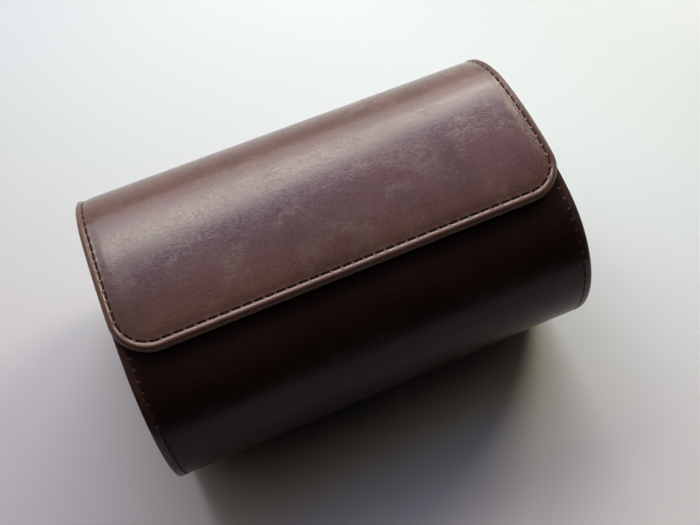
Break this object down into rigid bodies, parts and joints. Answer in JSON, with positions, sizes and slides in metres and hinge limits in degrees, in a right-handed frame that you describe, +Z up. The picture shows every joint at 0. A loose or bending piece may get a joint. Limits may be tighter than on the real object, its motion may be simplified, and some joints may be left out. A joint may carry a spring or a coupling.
{
  "type": "watch travel case",
  "caption": "Oval leather travel case for wrist watches: a stiff tube with recessed ends, a hinged wrap-over flap with hidden press studs, and lift-out watch cushions.",
  "frame": {"origin": "middle of the flat base, halfway between the ends and between front and back", "axes": "+X along the tube, -Y towards the flap's free edge (front), +Y towards the hinge (back), +Z up"},
  "size_m": [0.15, 0.1006, 0.0759],
  "materials": {
    "case_leather": "dark brown smooth leather, semi-gloss",
    "flap_leather": "brown smooth leather, fine grain, satin",
    "suede": "short-pile suede lining",
    "cushion_suede": "short-pile suede",
    "board": "grey-brown fibre board",
    "thread": "waxed dark brown thread",
    "snap_metal": "antique brass",
    "foam": "soft foam"
  },
  "bodies": {
    "case": {"outer_wrap": "case_leather", "wrap_board": "board", "wrap_lining": "suede", "lip_binding": "case_leather", "wrap_stitching": "thread", "left_end_rim": "case_leather", "left_end_skin": "case_leather", "left_end_board": "board", "left_end_lining": "suede", "left_mouth_binding": "case_leather", "right_end_rim": "case_leather", "right_end_skin": "case_leather", "right_end_board": "board", "right_end_lining": "suede", "right_mouth_binding": "case_leather", "divider_board": "board", "divider_cover": "suede", "hinge_leather": "case_leather", "hinge_lining": "suede", "left_stud": "snap_metal", "right_stud": "snap_metal", "left_stud_back": "snap_metal", "right_stud_back": "snap_metal"},
    "flap": {"flap_leather": "flap_leather", "flap_board": "board", "flap_lining": "suede", "flap_edge_bead": "flap_leather", "flap_stitching": "thread", "left_socket": "snap_metal", "right_socket": "snap_metal", "left_socket_cap": "snap_metal", "right_socket_cap": "snap_metal"},
    "cushion_left": {"left_cushion_foam": "foam", "left_cushion_sleeve": "cushion_suede", "left_cushion_discs": "cushion_suede"},
    "cushion_right": {"right_cushion_foam": "foam", "right_cushion_sleeve": "cushion_suede", "right_cushion_discs": "cushion_suede"}
  },
  "joints": [
    {"name": "flap_hinge", "type": "hinge", "parent": "case", "child": "flap", "pos_m": [0, 0.05, 0.03745], "axis": [-1, 0, 0], "range_deg": [0, 155]},
    {"name": "cushion_left_lift", "type": "slide", "parent": "case", "child": "cushion_left", "axis": [0, 0.5, 0.866], "range_m": [0, 0.024]},
    {"name": "cushion_right_lift", "type": "slide", "parent": "case", "child": "cushion_right", "axis": [0, 0.5, 0.866], "range_m": [0, 0.024]}
  ]
}
